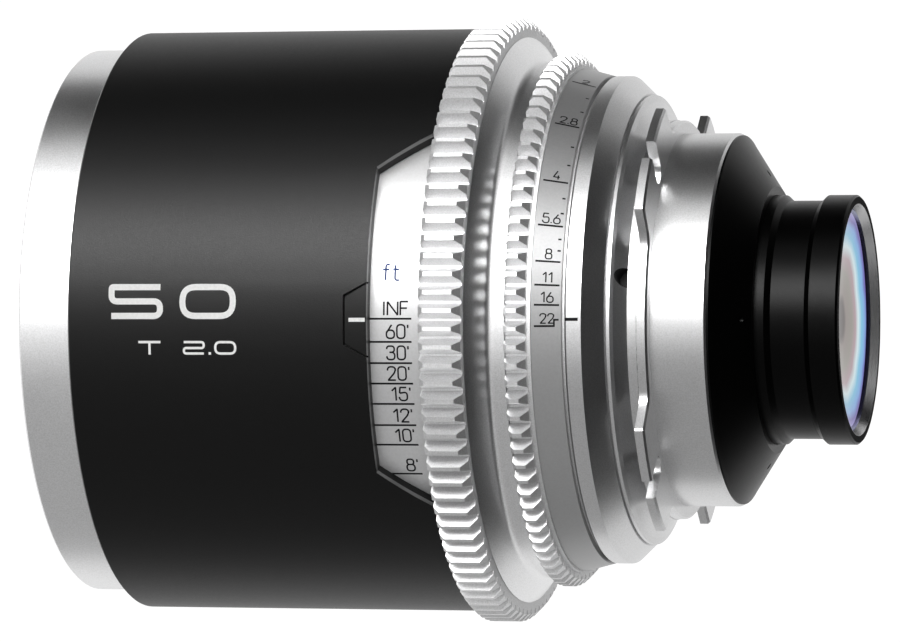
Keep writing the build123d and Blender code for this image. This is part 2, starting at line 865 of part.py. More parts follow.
def focus_cell():
    """Cell of the focusing group, with seats for its three pins."""
    outer = barrel_bore_radius - slip_fit
    body = turned(
        (focus_lip_radius, focus_cell_front),
        (outer, focus_cell_front),
        (outer, focus_cell_rear),
        (focus_glass_radius, focus_cell_rear),
        (focus_glass_radius, focus_glass_z),
        (focus_lip_radius, focus_glass_z),
    )
    seat = radial_pin(follower_radius, follower_root_radius, outer + overrun, follower_height)
    for pin in range(guide_pins + 1):
        body -= facing(pin * 360 / (guide_pins + 1)) * seat
    return body


def focus_front_element():
    """Front element of the focusing group."""
    return glass(
        focus_glass_radius,
        focus_lip_radius,
        focus_glass_z,
        focus_front_glass_edge,
        focus_front_glass_curve,
        focus_front_glass_back_curve,
    )


def focus_spacer():
    """Ring between the focusing elements."""
    low = focus_rear_glass_z - focus_spacer_length
    return tube(focus_glass_radius, focus_lip_radius, low, focus_rear_glass_z)


def focus_rear_element():
    """Rear element of the focusing group."""
    return glass(
        focus_glass_radius,
        focus_lip_radius,
        focus_rear_glass_z,
        focus_rear_glass_edge,
        focus_rear_glass_curve,
        focus_rear_glass_back_curve,
    )


def focus_retainer():
    """Threaded ring that holds the focusing elements in their cell."""
    low = focus_rear_glass_z + focus_rear_glass_edge
    return tube(focus_glass_radius, focus_lip_radius, low, focus_cell_rear)


def focus_follower():
    """Long pin that runs in the cam groove."""
    reach = bearing_radius + cam_groove_depth - pin_play
    return facing(0) * radial_pin(follower_radius, follower_root_radius, reach, follower_height)


def focus_guide_pins():
    """Short pins that keep the focusing cell from turning."""
    pin = radial_pin(follower_radius, follower_root_radius, bearing_radius - pin_play, follower_height)
    count = guide_pins + 1
    return [facing(number * 360 / count) * pin for number in range(1, count)]


def iris_gear_ring():
    """Toothed iris ring with the sleeve under its scale."""
    bore = iris_bearing_radius + running_play
    land_z = iris_gear_z + iris_gear_length
    sleeve_end = index_ring_z - running_play
    ring = gear(iris_tip_radius, bore, iris_gear_z, iris_gear_length, iris_front_bevel)
    land = turned(
        (bore, land_z),
        (iris_land_radius, land_z),
        (iris_land_radius, iris_scale_z),
        (iris_sleeve_radius, iris_scale_z),
        (iris_sleeve_radius, sleeve_end),
        (bore, sleeve_end),
    )
    socket = radial_pin(drive_pin_radius, bore - overrun, drive_pin_head_radius, drive_z)
    return ring + land - Rot(0, 0, drive_pin_start()) * socket


def iris_scale_ring():
    """Tapered ring with the stop scale."""
    high = iris_scale_z + iris_scale_length
    return turned(
        (iris_sleeve_radius, iris_scale_z),
        (iris_scale_front_radius, iris_scale_z),
        (iris_scale_rear_radius, high),
        (iris_sleeve_radius, high),
    )


def iris_drive_pin():
    """Pin from the iris ring through the barrel to the drive ring."""
    pin = radial_pin(drive_pin_radius, drive_pin_root_radius, drive_pin_head_radius, drive_z)
    return Rot(0, 0, drive_pin_start()) * pin


def blade_pin_place(closing, angle, orbit):
    """Where a point of the first blade lies, closing being 0 when open and 1 when shut."""
    swing = radians(-blade_swing * closing)
    x = orbit * cos(radians(angle)) - blade_pivot_radius
    y = -orbit * sin(radians(angle))
    turned_x = x * cos(swing) - y * sin(swing) + blade_pivot_radius
    turned_y = x * sin(swing) + y * cos(swing)
    return turned_x, turned_y


def drive_slot_outline():
    """A blade pin's path in the drive ring, widened to a slot. The path is worked
    out from the two turns, so the pin stays in the slot all the way."""
    half = blade_pin_radius + pin_play
    stations = 6
    path = []
    for station in range(stations + 1):
        closing = 1 - station / stations
        x, y = blade_pin_place(closing, blade_pin_angle, blade_pin_orbit)
        back = radians(-iris_turn * (1 - closing))
        path.append(Vector(x * cos(back) - y * sin(back), x * sin(back) + y * cos(back)))
    line = Spline(*path)
    shares = [station / stations for station in range(stations + 1)]
    sides = []
    for side in (1, -1):
        offsets = []
        for share in shares:
            along = line.tangent_at(share)
            offsets.append(line.position_at(share) + Vector(-along.Y, along.X) * (half * side))
        sides.append(offsets)
    far, near = line.tangent_at(1) * half, line.tangent_at(0) * half
    return make_face(
        [
            Spline(*sides[0]),
            ThreePointArc(sides[0][-1], path[-1] + far, sides[1][-1]),
            Spline(*reversed(sides[1])),
            ThreePointArc(sides[1][0], path[0] - near, sides[0][0]),
        ]
    )


def iris_drive_ring():
    """Slotted ring that swings all the blades together."""
    high = drive_ring_z + drive_ring_thickness
    ring = tube(drive_ring_radius, drive_ring_bore, drive_ring_z, high)
    slot = Pos(0, 0, drive_ring_z) * extrude(drive_slot_outline(), drive_ring_thickness)
    for blade in range(blades):
        ring -= Rot(0, 0, blade * blade_angle_step) * slot
    socket = radial_pin(drive_pin_radius, drive_pin_root_radius, drive_ring_radius + overrun, drive_z)
    return ring - Rot(0, 0, drive_pin_start()) * socket


def iris_housing():
    """Cup with the base plate that the blades pivot on."""
    outer = iris_bore_radius - slip_fit
    inner = iris_housing_bore
    cover_z = drive_ring_z - running_play
    front = cover_z - iris_cover_thickness - iris_housing_rim
    body = turned(
        (inner + iris_cover_ledge, front),
        (outer, front),
        (outer, housing_seat_z),
        (stop_radius, housing_seat_z),
        (stop_radius, base_plate_z),
        (inner, base_plate_z),
        (inner, cover_z),
        (inner + iris_cover_ledge, cover_z),
    )
    pivot = Pos(blade_pivot_radius, 0, 0) * drum(
        blade_pin_radius + running_play, base_plate_z, base_plate_z + blade_pin_length
    )
    for blade in range(blades):
        body -= Rot(0, 0, blade * blade_angle_step) * pivot
    return body - drive_pin_slot()


def iris_cover():
    """Ring that keeps the drive ring in its housing."""
    high = drive_ring_z - running_play
    outer = iris_housing_bore + iris_cover_ledge - slip_fit
    return tube(outer, iris_cover_bore, high - iris_cover_thickness, high)


def blade_section(arc_share, inner_share, outer_share):
    """A thin upright slice of the blade at a place along its arc."""
    angle = arc_share * (blade_end_angle + blade_heel_angle) - blade_heel_angle
    band = blade_outer_radius - blade_inner_radius
    inner = blade_inner_radius + inner_share * band
    outer = blade_outer_radius - outer_share * band
    low = blade_tip_z + (blade_end_angle - angle) * blade_climb_per_degree
    high = low + blade_thickness
    across = Vector(cos(radians(angle)), -sin(radians(angle)), 0)
    corners = [across * inner, across * outer]
    lower = [corner + Vector(0, 0, low) for corner in corners]
    upper = [corner + Vector(0, 0, high) for corner in reversed(corners)]
    return make_face(Polyline(*lower, *upper, close=True))


def first_blade():
    """A crescent that climbs along its arc, so that each blade lies over the next.
    One pin turns in the base plate, and the other runs in the drive ring's slot."""
    leaf = loft([blade_section(*station) for station in blade_taper_shares])
    skin = blade_thickness / 2
    pivot_end = base_plate_z + blade_pin_length - running_play
    pivot = Pos(blade_pivot_radius, 0, 0) * drum(blade_pin_radius, blade_tail_z + skin, pivot_end)
    pin_x, pin_y = blade_pin_place(0, blade_pin_angle, blade_pin_orbit)
    pin_root = blade_tip_z + (blade_end_angle - blade_pin_angle) * blade_climb_per_degree + skin
    drive = Pos(pin_x, pin_y, 0) * drum(blade_pin_radius, drive_ring_z + running_play, pin_root)
    place = Pos(blade_pivot_radius, 0, 0)
    return place * Rot(0, 0, -blade_swing) * place.inverse() * (leaf + pivot + drive)


def rear_cell():
    """Tube of the rear group, from its flange behind the iris to the last element."""
    flange_end = barrel_end_z + rear_flange_length
    shoulder_end = mount_end_z + cover_length + rear_shoulder_length
    step = rear_shoulder_radius - rear_tube_radius
    glass_seat = rear_ring_seat_z - rear_glass_edge
    return turned(
        (relay_lip_radius, barrel_end_z),
        (rear_flange_radius, barrel_end_z),
        (rear_flange_radius, flange_end),
        (rear_shoulder_radius, flange_end),
        (rear_shoulder_radius, shoulder_end),
        (rear_tube_radius, shoulder_end + step),
        (rear_tube_radius, rear_ring_seat_z),
        (rear_glass_radius, rear_ring_seat_z),
        (rear_glass_radius, glass_seat),
        (relay_glass_radius, glass_seat),
        (relay_glass_radius, relay_glass_z),
        (relay_lip_radius, relay_glass_z),
    )


def relay_front_element():
    """Thick element just behind the iris."""
    return glass(
        relay_glass_radius,
        relay_lip_radius,
        relay_glass_z,
        relay_front_edge,
        relay_front_curve,
        relay_front_back_curve,
    )


def relay_spacer():
    """Ring between the relay elements."""
    return tube(relay_glass_radius, relay_lip_radius, relay_rear_z - relay_spacer_length, relay_rear_z)


def relay_rear_element():
    """Second element of the rear group."""
    return glass(
        relay_glass_radius,
        relay_lip_radius,
        relay_rear_z,
        relay_rear_edge,
        relay_rear_curve,
        relay_rear_back_curve,
    )


def relay_retainer():
    """Threaded ring that holds the relay elements."""
    low = relay_rear_z + relay_rear_edge
    return tube(relay_glass_radius, relay_lip_radius, low, low + relay_retainer_length)


def rear_element():
    """Last element, seen from behind."""
    return glass(
        rear_glass_radius,
        rear_ring_seat_radius,
        rear_ring_seat_z - rear_glass_edge,
        rear_glass_edge,
        rear_glass_front_curve,
        rear_glass_rear_curve,
    )


def rear_ring():
    """Black ring that holds the last element, bevelled inside."""
    start = tail_end_z - rear_ring_length
    step = rear_ring_radius - rear_tube_radius
    bore = rear_tube_radius + slip_fit
    return turned(
        (bore, start),
        (rear_ring_radius, start + step),
        (rear_ring_radius, tail_end_z - edge_bevel),
        (rear_ring_radius - edge_bevel, tail_end_z),
        (rear_ring_mouth_radius, tail_end_z),
        (rear_ring_seat_radius, tail_end_z - rear_ring_recess),
        (rear_ring_seat_radius, rear_ring_seat_z),
        (bore, rear_ring_seat_z),
    )


blade = first_blade()
nodes = {
    "front_ring": front_ring(),
    "barrel_shell": barrel_shell(),
    "index_plate": index_plate(),
    "main_barrel": main_barrel(),
    "mid_ring": mid_ring(),
    "index_ring": index_ring(),
    "mount_base": mount_base(),
    "mount_shim": mount_shim(),
    "mount_flange": mount_flange(),
    "mount_screws": Compound(children=mount_screw_group()),
    "rear_cover": rear_cover(),
    "front_cell": front_cell(),
    "front_retainer": front_retainer(),
    "front_element": front_element(),
    "front_spacer": front_spacer(),
    "second_element": second_element(),
    "focus_gear_ring": focus_gear_ring(),
    "focus_scale_ring": focus_scale_ring(),
    "focus_cell": focus_cell(),
    "focus_front_element": focus_front_element(),
    "focus_spacer": focus_spacer(),
    "focus_rear_element": focus_rear_element(),
    "focus_retainer": focus_retainer(),
    "focus_follower": focus_follower(),
    "focus_guide_pins": Compound(children=focus_guide_pins()),
    "iris_gear_ring": iris_gear_ring(),
    "iris_scale_ring": iris_scale_ring(),
    "iris_drive_pin": iris_drive_pin(),
    "iris_drive_ring": iris_drive_ring(),
    "iris_housing": iris_housing(),
    "iris_cover": iris_cover(),
    "rear_cell": rear_cell(),
    "relay_front_element": relay_front_element(),
    "relay_spacer": relay_spacer(),
    "relay_rear_element": relay_rear_element(),
    "relay_retainer": relay_retainer(),
    "rear_element": rear_element(),
    "rear_ring": rear_ring(),
}
for number in range(blades):
    nodes[f"iris_blade_{number + 1}"] = Rot(0, 0, number * blade_angle_step) * blade

for name, node in nodes.items():
    export_step(node, f"parts/{name}.step")
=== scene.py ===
# Looks of a cinema prime lens that stands on its front ring, seen from the side.
# Lengths on the lens are in millimetres. Those of shaders, studio and camera are in metres.
# Angles round the lens are in degrees from the index side, toward the picture's top.
from math import cos, degrees, hypot, pi, radians, sin, tan

import bmesh
import bpy
from mathutils import Matrix, Vector


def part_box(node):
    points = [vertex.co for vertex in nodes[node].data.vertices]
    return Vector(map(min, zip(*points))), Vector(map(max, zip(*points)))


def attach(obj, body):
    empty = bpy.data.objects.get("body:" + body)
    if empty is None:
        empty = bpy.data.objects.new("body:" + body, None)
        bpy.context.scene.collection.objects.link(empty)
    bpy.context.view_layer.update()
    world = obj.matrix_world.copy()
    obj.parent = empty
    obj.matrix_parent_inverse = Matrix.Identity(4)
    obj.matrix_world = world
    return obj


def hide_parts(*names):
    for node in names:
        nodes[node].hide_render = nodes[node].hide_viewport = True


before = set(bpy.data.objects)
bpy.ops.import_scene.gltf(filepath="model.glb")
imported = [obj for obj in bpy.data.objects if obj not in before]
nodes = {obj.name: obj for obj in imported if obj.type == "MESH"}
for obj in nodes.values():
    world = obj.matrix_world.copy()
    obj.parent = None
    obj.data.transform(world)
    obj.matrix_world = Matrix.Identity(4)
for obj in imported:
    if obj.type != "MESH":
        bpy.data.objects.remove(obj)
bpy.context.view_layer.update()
scene = bpy.context.scene
mm = 0.001

# The lens's own sizes that marks and materials follow
shell_radius = 42.5
window_edge_top, window_edge_foot = 0.15, 0.85
focus_scale_radius = 40.3
iris_scale_front, iris_scale_rear = 36.55, 35.45
iris_scale_z, iris_scale_length = 74.0, 4.05
index_ring_radius = 35.4
pocket_radius, pocket_angle, pocket_z = 1.4, 11.5, 86.1
rear_mouth_radius, rear_mouth_flare, rear_seat_depth = 16.7, 0.7, 2.15
blade_count = 10

# Forms of the two turned pieces
cove_slant, cove_slope = 2.1, 55
glass_clearance, glass_rise, glass_hollow, glass_crown = 0.05, 1.0, 1.6, 1.2

# Marks stand off their surface by lift, and masks reach past theirs by as much
lift = 0.012

# Marks are cut into bands of this angle, so that they bend round their surface
band_angle = 0.6

white = (1.0, 1.0, 1.0, 1.0)


# Camera: the photograph's, rolled so that the lens axis lies level in the picture

focal_length = 234.1
camera_place = (0.00017, -0.83135, 0.26276)
pitch_sine, pitch_cosine = 0.24442, 0.96967


def make_camera():
    data = bpy.data.cameras.new("camera")
    data.sensor_width = 36.0
    data.lens = focal_length
    data.clip_start = 0.05
    data.clip_end = 20.0
    camera = bpy.data.objects.new("camera", data)
    scene.collection.objects.link(camera)
    right = Vector((0.0, pitch_sine, pitch_cosine))
    up = Vector((-1.0, 0.0, 0.0))
    back = Vector((0.0, -pitch_cosine, pitch_sine))
    turn = Matrix((right, up, back)).transposed().to_4x4()
    camera.matrix_world = Matrix.Translation(camera_place) @ turn
    scene.camera = camera


# Materials

# A face counts as turned one way where its normal follows that way by this share
window_facing, rim_facing = 0.9, 0.95


def grey(level):
    return (level, level, level)


def add_node(tree, kind, **values):
    """A new node with its properties and its plain inputs set."""
    node = tree.nodes.new(kind)
    for name, value in values.items():
        if name in node.bl_rna.properties:
            setattr(node, name, value)
        else:
            node.inputs[name.replace("_", " ")].default_value = value
    return node


class Shader:
    """A node material around one Principled shader."""

    # The span of a noise's values that is spread over a whole change
    noise_low, noise_high = 0.3, 0.7

    def __init__(self, name):
        self.material = bpy.data.materials.new(name)
        self.material.use_nodes = True
        self.tree = self.material.node_tree
        self.links = self.tree.links
        self.principled = self.tree.nodes["Principled BSDF"]

    def set(self, **values):
        for name, value in values.items():
            self.principled.inputs[name.replace("_", " ")].default_value = value
        return self

    def node(self, kind, **values):
        return add_node(self.tree, kind, **values)

    def link(self, start, output, end, socket):
        self.links.new(start.outputs[output], end.inputs[socket])

    def coordinates(self, output):
        return self.node("ShaderNodeTexCoord").outputs[output]

    def noise(self, scale, detail=2.0, stretch=(1.0, 1.0, 1.0)):
        """Noise that is fixed to the object, so that it moves with its piece."""
        mapping = self.node("ShaderNodeMapping", Scale=stretch)
        texture = self.node("ShaderNodeTexNoise", Scale=scale, Detail=detail, Roughness=0.55)
        self.links.new(self.coordinates("Object"), mapping.inputs["Vector"])
        self.link(mapping, "Vector", texture, "Vector")
        return texture

    def tint(self, texture, dark, light):
        """Colour between two tones by a noise."""
        colours = self.node("ShaderNodeValToRGB")
        first, last = colours.color_ramp.elements
        first.position, last.position = self.noise_low, self.noise_high
        first.color, last.color = (*dark, 1.0), (*light, 1.0)
        self.link(texture, "Fac", colours, "Fac")
        self.link(colours, "Color", self.principled, "Base Color")

    def roughen(self, texture, low, high):
        """Roughness between two numbers by a noise."""
        span = {"From_Min": self.noise_low, "From_Max": self.noise_high}
        spread = self.node("ShaderNodeMapRange", **span, To_Min=low, To_Max=high)
        self.link(texture, "Fac", spread, "Value")
        self.link(spread, "Result", self.principled, "Roughness")

    def bump(self, texture, strength, depth):
        bump = self.node("ShaderNodeBump", Strength=strength, Distance=depth)
        self.link(texture, "Fac", bump, "Height")
        self.link(bump, "Normal", self.principled, "Normal")

    def overlay(self, mask, socket, value):
        """Give a socket another value where a mask is one."""
        target = self.principled.inputs[socket]
        colour = socket == "Base Color"
        mix = self.node("ShaderNodeMix", data_type="RGBA" if colour else "FLOAT")
        # A mix of colours has its sockets in other places than a mix of numbers
        first, second, result = (6, 7, 2) if colour else (2, 3, 0)
        if target.is_linked:
            self.links.new(target.links[0].from_socket, mix.inputs[first])
        else:
            mix.inputs[first].default_value = target.default_value
        mix.inputs[second].default_value = value
        self.links.new(mask, mix.inputs[0])
        self.links.new(mix.outputs[result], target)

    def maths(self, operation, *terms):
        """A number worked out from sockets and plain numbers."""
        node = self.node("ShaderNodeMath", operation=operation)
        for socket, term in zip(node.inputs, terms):
            if isinstance(term, (int, float)):
                socket.default_value = term
            else:
                self.links.new(term, socket)
        return node.outputs["Value"]

    def vector(self, operation, *terms):
        """A vector or a number worked out from sockets and plain vectors."""
        node = self.node("ShaderNodeVectorMath", operation=operation)
        for socket, term in zip(node.inputs, terms):
            if isinstance(term, tuple):
                socket.default_value = term
            else:
                self.links.new(term, socket)
        return node.outputs["Value" if operation in ("LENGTH", "DOT_PRODUCT") else "Vector"]

    def outward(self):
        """The part of a point's place that leads away from the lens's axis."""
        return self.vector("MULTIPLY", self.coordinates("Object"), (1.0, 1.0, 0.0))


def satin(name, tone=0.84, roughness=0.33):
    """Bead-blasted, clear anodised aluminium with a fine even grain."""
    shader = Shader(name).set(Metallic=1.0)
    beads = shader.noise(scale=5000.0)
    cloud = shader.noise(scale=45.0)
    shader.tint(beads, dark=grey(tone * 0.82), light=(tone, tone, tone * 1.01))
    shader.roughen(cloud, low=roughness - 0.03, high=roughness + 0.04)
    shader.bump(beads, strength=0.5, depth=0.000012)
    return shader


def turned_aluminium():
    """Clear anodised aluminium with the rings of the lathe still in it."""
    shader = Shader("turned_aluminium").set(Metallic=1.0)
    rings = shader.noise(scale=90.0, detail=3.0, stretch=(1.0, 1.0, 40.0))
    beads = shader.noise(scale=2600.0)
    shader.tint(beads, dark=(0.76, 0.76, 0.765), light=(0.84, 0.84, 0.85))
    shader.roughen(rings, low=0.26, high=0.36)
    shader.bump(rings, strength=0.25, depth=0.00001)
    return shader.material


def scale_aluminium(name, tone, roughness, metallic):
    """The flatter finish of the engraved scales."""
    shader = Shader(name).set(Metallic=metallic)
    beads = shader.noise(scale=3000.0)
    shader.tint(beads, dark=grey(tone * 0.93), light=(tone, tone, tone * 1.01))
    shader.roughen(beads, low=roughness - 0.04, high=roughness + 0.04)
    shader.bump(beads, strength=0.3, depth=0.000008)
    return shader.material


def black_anodised(name, tone=0.0008, roughness=0.43, specular=0.21):
    """Matte black anodising: a fine grain that catches the light in specks."""
    shader = Shader(name).set(Metallic=0.0, Specular_IOR_Level=specular)
    beads = shader.noise(scale=6000.0)
    shader.tint(beads, dark=grey(tone * 0.6), light=grey(tone * 1.6))
    shader.roughen(beads, low=roughness - 0.04, high=roughness + 0.05)
    shader.bump(beads, strength=1.0, depth=0.000014)
    return shader


def smoother_black(name):
    """The black of the rear parts, a little darker and smoother than the barrel's."""
    return black_anodised(name, tone=0.0005, roughness=0.33, specular=0.07)


def shell_black():
    """The barrel's black, with a painted highlight: the faces just under its outer surface that don't
    face outward, such as the window's walls, are pale metal, so that they show a light band where a
    chamfer would catch the light.
    """
    shader = black_anodised("shell_black")
    outward = shader.outward()
    lean = shader.vector(
        "DOT_PRODUCT", shader.vector("NORMALIZE", outward), shader.coordinates("Normal")
    )
    radius = shader.vector("LENGTH", outward)
    beside = shader.maths("LESS_THAN", lean, window_facing)
    above = shader.maths("GREATER_THAN", radius, (shell_radius - window_edge_foot) * mm)
    below = shader.maths("LESS_THAN", radius, (shell_radius - window_edge_top) * mm)
    edge = shader.maths("MULTIPLY", beside, shader.maths("MULTIPLY", above, below))
    # Painted highlight: pale metal on these faces stands in for the light a chamfer catches.
    shader.overlay(edge, "Base Color", (*grey(0.22), 1.0))
    shader.overlay(edge, "Metallic", 1.0)
    return shader.material


def ring_black():
    """The rear ring's black, with a flat matte rim and a polished bevel in its mouth."""
    shader = smoother_black("ring_black")
    rearward = shader.vector("DOT_PRODUCT", shader.coordinates("Normal"), (0.0, 0.0, 1.0))
    rim = shader.maths("GREATER_THAN", rearward, rim_facing)
    radius = shader.vector("LENGTH", shader.outward())
    mouth = shader.maths("LESS_THAN", radius, (rear_mouth_radius + lift) * mm)
    shader.overlay(rim, "Roughness", 0.8)
    shader.overlay(mouth, "Base Color", (0.38, 0.38, 0.385, 1.0))
    shader.overlay(mouth, "Metallic", 1.0)
    shader.overlay(mouth, "Roughness", 0.25)
    return shader.material


def base_satin():
    """The mount base's satin, with painted shade: the pocket in its slope is coloured flat black."""
    shader = satin("base_satin", tone=0.68, roughness=0.32)
    angle = radians(pocket_angle)
    drill = (-sin(angle), -cos(angle), 0.0)
    offset = shader.vector("SUBTRACT", shader.coordinates("Object"), (0.0, 0.0, pocket_z * mm))
    across = shader.vector("LENGTH", shader.vector("CROSS_PRODUCT", offset, drill))
    along = shader.vector("DOT_PRODUCT", offset, drill)
    behind = shader.vector("DOT_PRODUCT", offset, (0.0, 0.0, 1.0))
    near = shader.maths("LESS_THAN", across, (pocket_radius + lift) * mm)
    side = shader.maths("GREATER_THAN", along, 0.0)
    ahead = shader.maths("LESS_THAN", behind, lift * mm)
    pocket = shader.maths("MULTIPLY", near, shader.maths("MULTIPLY", side, ahead))
    # Painted shade: the pocket's inside is made near black, matte and not metallic.
    shader.overlay(pocket, "Base Color", (*grey(0.004), 1.0))
    shader.overlay(pocket, "Metallic", 0.0)
    shader.overlay(pocket, "Roughness", 0.7)
    return shader.material


def glare_black():
    """Flat black of the parts inside the lens."""
    shader = Shader("glare_black").set(Metallic=0.0, Specular_IOR_Level=0.2)
    cloud = shader.noise(scale=900.0, detail=3.0)
    shader.tint(cloud, dark=grey(0.006), light=grey(0.014))
    shader.roughen(cloud, low=0.55, high=0.7)
    shader.bump(cloud, strength=0.3, depth=0.00001)
    return shader.material


def blade_steel():
    """Blackened steel of the iris blades."""
    shader = Shader("blade_steel").set(Metallic=0.9)
    brush = shader.noise(scale=300.0, detail=4.0, stretch=(1.0, 6.0, 1.0))
    shader.tint(brush, dark=(0.02, 0.02, 0.022), light=(0.05, 0.05, 0.055))
    shader.roughen(brush, low=0.32, high=0.48)
    return shader.material


def bright_steel():
    """Plain steel of pins, screws and the shim."""
    shader = Shader("bright_steel").set(Metallic=1.0)
    brush = shader.noise(scale=900.0, detail=3.0, stretch=(1.0, 1.0, 8.0))
    shader.tint(brush, dark=grey(0.42), light=grey(0.6))
    shader.roughen(brush, low=0.22, high=0.36)
    return shader.material


def coated_glass(name, tint, film):
    """Optical glass under a thin coating that colours what it mirrors."""
    shader = Shader(name).set(Metallic=0.0, Transmission_Weight=1.0, IOR=1.62)
    shader.set(Thin_Film_Thickness=film, Thin_Film_IOR=1.38)
    haze = shader.noise(scale=60.0)
    shader.tint(haze, dark=tint, light=grey(1.0))
    shader.roughen(haze, low=0.0, high=0.015)
    return shader.material


# The last element's coating tint and painted reflection: colours by their share of the way to its
# edge
coating_and_reflection_colours = (
    (0.0, (0.03, 0.01, 0.01)), (0.16, (0.05, 0.025, 0.02)), (0.24, (0.28, 0.23, 0.21)),
    (0.45, (0.34, 0.32, 0.28)), (0.58, (0.50, 0.36, 0.40)), (0.67, (0.75, 0.93, 0.97)),
    (0.76, (0.22, 0.60, 0.85)), (0.84, (0.22, 0.44, 0.85)), (0.90, (0.13, 0.09, 0.45)),
    (0.95, (0.30, 0.26, 0.70)), (1.0, (0.60, 0.64, 0.90)),
)
colour_ring_swirl = 0.16


def rear_coating_and_reflection(radius):
    """The last element as a tinted mirror, with rings of colour from the middle outward. They are
    partly its coating's own tint, which runs through its colours as the coating thickens toward its
    edge, and partly painted reflection: the dark middle and the grey and tan rings stand in for what
    the glass mirrors."""
    shader = Shader("rear_glass").set(Metallic=0.96, Roughness=0.03, IOR=1.62)
    shader.set(Specular_Tint=(*grey(0.75), 1.0))
    swirl = shader.noise(scale=90.0, stretch=(1.0, 1.0, 0.2)).outputs["Fac"]
    even = shader.maths("DIVIDE", shader.vector("LENGTH", shader.outward()), radius)
    shift = shader.maths("SUBTRACT", swirl, 0.5)
    away = shader.maths("MULTIPLY_ADD", shift, colour_ring_swirl, even)
    # Painted reflection and coating tint go into the base colour as rings by radius.
    colours = shader.node("ShaderNodeValToRGB")
    stops = colours.color_ramp.elements
    while len(stops) < len(coating_and_reflection_colours):
        stops.new(1.0)
    for stop, (share, colour) in zip(stops, coating_and_reflection_colours):
        stop.position = share
        stop.color = (*colour, 1.0)
    shader.links.new(away, colours.inputs["Fac"])
    shader.link(colours, "Color", shader.principled, "Base Color")
    return shader.material


def paint(name, colour):
    """Enamel that fills an engraving."""
    shader = Shader(name).set(Metallic=0.0, Specular_IOR_Level=0.06)
    fleck = shader.noise(scale=2500.0)
    shader.tint(fleck, dark=tuple(0.9 * part for part in colour), light=colour)
    shader.roughen(fleck, low=0.5, high=0.6)
    return shader.material


def dress(material, *names):
    """Give CAD nodes a material."""
    for name in names:
        mesh = nodes[name].data
        if not mesh.materials:
            mesh.materials.append(material)
        for slot in nodes[name].material_slots:
            slot.material = material


def linked(name, mesh, material):
    """An object in the scene with a finished mesh and its material."""
    mesh.materials.append(material)
    piece = bpy.data.objects.new(name, mesh)
    scene.collection.objects.link(piece)
    return piece


# Turned pieces that replace a node with a smoother form

def turned(name, outline, material, node):
    """A closed piece turned from an outline of radius and height in metres. It takes
    the place of a node of the same size."""
    steps, weld, sharp = 256, 0.000001, radians(20)
    mesh = bpy.data.meshes.new(name)
    shape = bmesh.new()
    rails = []
    for step in range(steps):
        turn = 2 * pi * step / steps
        rails.append([shape.verts.new((r * cos(turn), r * sin(turn), z)) for r, z in outline])
    for one, two in zip(rails, rails[1:] + rails[:1]):
        for low in range(len(outline)):
            high = (low + 1) % len(outline)
            shape.faces.new((one[low], two[low], two[high], one[high]))
    bmesh.ops.remove_doubles(shape, verts=shape.verts, dist=weld)
    bmesh.ops.recalc_face_normals(shape, faces=shape.faces)
    shape.to_mesh(mesh)
    shape.free()
    for face in mesh.polygons:
        face.use_smooth = True
    mesh.set_sharp_from_angle(angle=sharp)
    piece = linked(name, mesh, material)
    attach(piece, "root")
    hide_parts(node)


def cove_ring(material):
    """The mid ring with its cove running smoothly into the land: a steep cone, then a
    bend that ends level with the land."""
    low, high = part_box("mid_ring")
    reach = [(hypot(v.co.x, v.co.y), v.co.z) for v in nodes["mid_ring"].data.vertices]
    bore = min(radius for radius, _ in reach)
    head = max(radius for radius, _ in reach)
    land = max(radius for radius, z in reach if z > (low.z + high.z) / 2)
    slant, slope = cove_slant * mm, radians(cove_slope)
    foot = head - slant * tan(slope)
    bend = (foot - land) / (1 - cos(slope))
    end = low.z + slant + bend * sin(slope)
    steps = 16
    outline = [(bore, high.z), (bore, low.z), (head, low.z)]
    for step in range(steps + 1):
        lean = slope * (1 - step / steps)
        outline.append((land + bend * (1 - cos(lean)), end - bend * sin(lean)))
    outline.append((land, high.z))
    turned("mid_ring_cove", outline, material, "mid_ring")


def rear_glass():
    """The last element, hollow behind and standing up inside the ring's mouth."""
    low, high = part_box("rear_element")
    _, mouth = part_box("rear_ring")
    edge = high.x
    lip = (rear_mouth_radius - rear_mouth_flare - glass_clearance) * mm
    seat = mouth.z - rear_seat_depth * mm
    steps = 24
    outline = [(edge, seat), (edge, low.z)]
    for step in range(steps + 1):
        radius = edge * (1 - step / steps)
        outline.append((radius, low.z + glass_crown * mm * (1 - (radius / edge) ** 2)))
    for step in range(steps + 1):
        radius = lip * step / steps
        sunk = glass_hollow * (1 - (radius / lip) ** 2)
        outline.append((radius, seat + (glass_rise - sunk) * mm))
    outline.append((lip, seat))
    turned("rear_element_glass", outline, rear_coating_and_reflection(lip), "rear_element")


